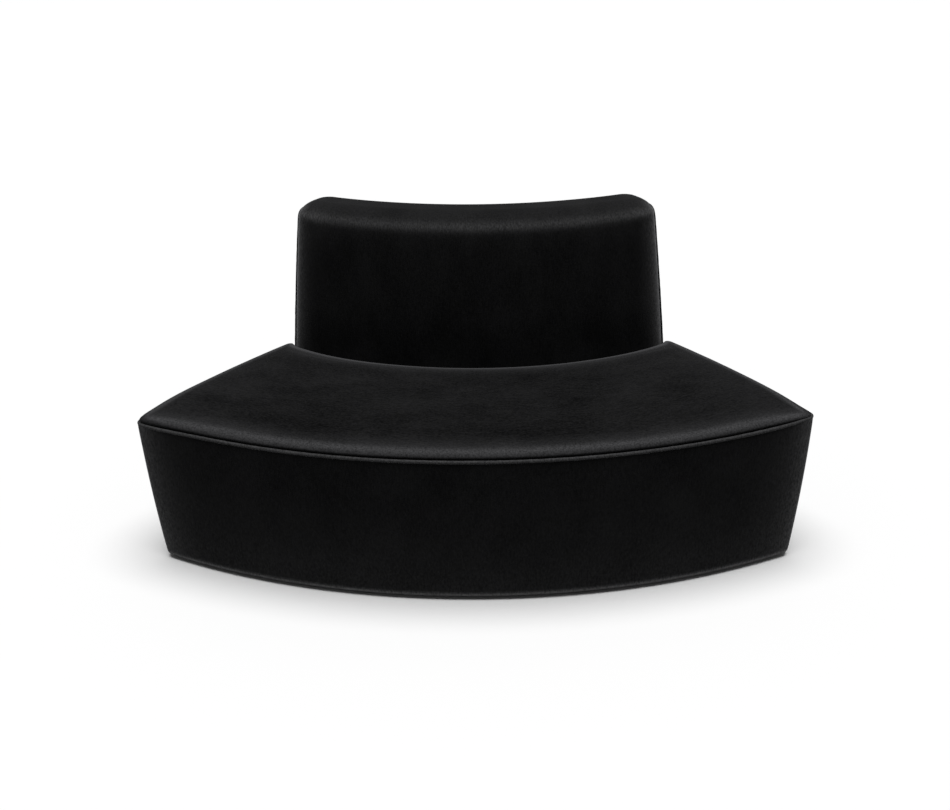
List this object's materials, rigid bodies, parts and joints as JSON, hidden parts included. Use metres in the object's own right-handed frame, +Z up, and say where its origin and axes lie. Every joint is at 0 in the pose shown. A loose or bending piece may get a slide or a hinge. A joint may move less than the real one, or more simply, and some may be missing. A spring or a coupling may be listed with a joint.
{
  "type": "curved modular sofa",
  "caption": "Curved upholstered sofa module, a ring sector with a convex front, a raked rounded back, a welted seat, levelling feet and ganging straps below.",
  "frame": {"origin": "centre of the bounding box in plan, on the floor under the feet", "axes": "+X to the sitter's left hand along the width, seen at the right from the front; -Y out of the seat front; +Z up"},
  "size_m": [1.7862, 0.8697, 0.857],
  "materials": {
    "velvet": "matte velvet pile, near black, with a pale sheen at grazing angles",
    "welt_velvet": "matte velvet over piping cord, near black",
    "foam": "open-cell upholstery foam",
    "padding": "bonded polyester wadding",
    "dust_cloth": "non-woven black cloth",
    "plywood": "raw birch plywood",
    "bent_ply": "raw bending plywood",
    "foot_plastic": "matte black glide and stem",
    "zinc_steel": "zinc-plated steel"
  },
  "bodies": {
    "module": {"back_bolts": "zinc_steel", "back_bottom_rail": "plywood", "back_cover": "velvet", "back_foam": "foam", "back_front_skin": "bent_ply", "back_left_end_cover": "velvet", "back_left_end_panel": "plywood", "back_left_welt": "welt_velvet", "back_rear_padding": "padding", "back_rear_skin": "bent_ply", "back_rib_1": "plywood", "back_rib_2": "plywood", "back_rib_3": "plywood", "back_right_end_cover": "velvet", "back_right_end_panel": "plywood", "back_right_welt": "welt_velvet", "back_tee_nuts": "zinc_steel", "back_top_rail": "plywood", "bottom_panel": "plywood", "dust_cover": "dust_cloth", "foot_tee_nuts": "zinc_steel", "front_apron_cover": "velvet", "front_padding": "padding", "front_skin": "bent_ply", "ganging_inserts": "zinc_steel", "ganging_pivots": "zinc_steel", "left_end_cover": "velvet", "left_end_padding": "padding", "left_end_panel": "plywood", "rear_cover": "velvet", "rear_padding": "padding", "rear_skin": "bent_ply", "rib_1": "plywood", "rib_2": "plywood", "rib_3": "plywood", "rib_4": "plywood", "right_end_cover": "velvet", "right_end_padding": "padding", "right_end_panel": "plywood", "seat_cover": "velvet", "seat_deck": "plywood", "seat_foam": "foam", "seat_welt": "welt_velvet"},
    "foot_front_centre_body": {"foot_front_centre": "foot_plastic"},
    "foot_front_left_body": {"foot_front_left": "foot_plastic"},
    "foot_front_right_body": {"foot_front_right": "foot_plastic"},
    "foot_rear_centre_body": {"foot_rear_centre": "foot_plastic"},
    "foot_rear_left_body": {"foot_rear_left": "foot_plastic"},
    "foot_rear_right_body": {"foot_rear_right": "foot_plastic"},
    "ganging_strap_front_body": {"ganging_strap_front": "zinc_steel"},
    "ganging_strap_rear_body": {"ganging_strap_rear": "zinc_steel"}
  },
  "joints": [
    {"name": "foot_front_centre_screw", "type": "slide", "parent": "module", "child": "foot_front_centre_body", "axis": [0, 0, -1], "range_m": [0, 0.012]},
    {"name": "foot_front_left_screw", "type": "slide", "parent": "module", "child": "foot_front_left_body", "axis": [0, 0, -1], "range_m": [0, 0.012]},
    {"name": "foot_front_right_screw", "type": "slide", "parent": "module", "child": "foot_front_right_body", "axis": [0, 0, -1], "range_m": [0, 0.012]},
    {"name": "foot_rear_centre_screw", "type": "slide", "parent": "module", "child": "foot_rear_centre_body", "axis": [0, 0, -1], "range_m": [0, 0.012]},
    {"name": "foot_rear_left_screw", "type": "slide", "parent": "module", "child": "foot_rear_left_body", "axis": [0, 0, -1], "range_m": [0, 0.012]},
    {"name": "foot_rear_right_screw", "type": "slide", "parent": "module", "child": "foot_rear_right_body", "axis": [0, 0, -1], "range_m": [0, 0.012]},
    {"name": "strap_front_swing", "type": "hinge", "parent": "module", "child": "ganging_strap_front_body", "pos_m": [0.74182, -0.08817, 0.0096], "axis": [0, 0, -1], "range_deg": [0, 90]},
    {"name": "strap_rear_swing", "type": "hinge", "parent": "module", "child": "ganging_strap_rear_body", "pos_m": [0.51007, 0.26196, 0.0096], "axis": [0, 0, 1], "range_deg": [0, 90]}
  ]
}
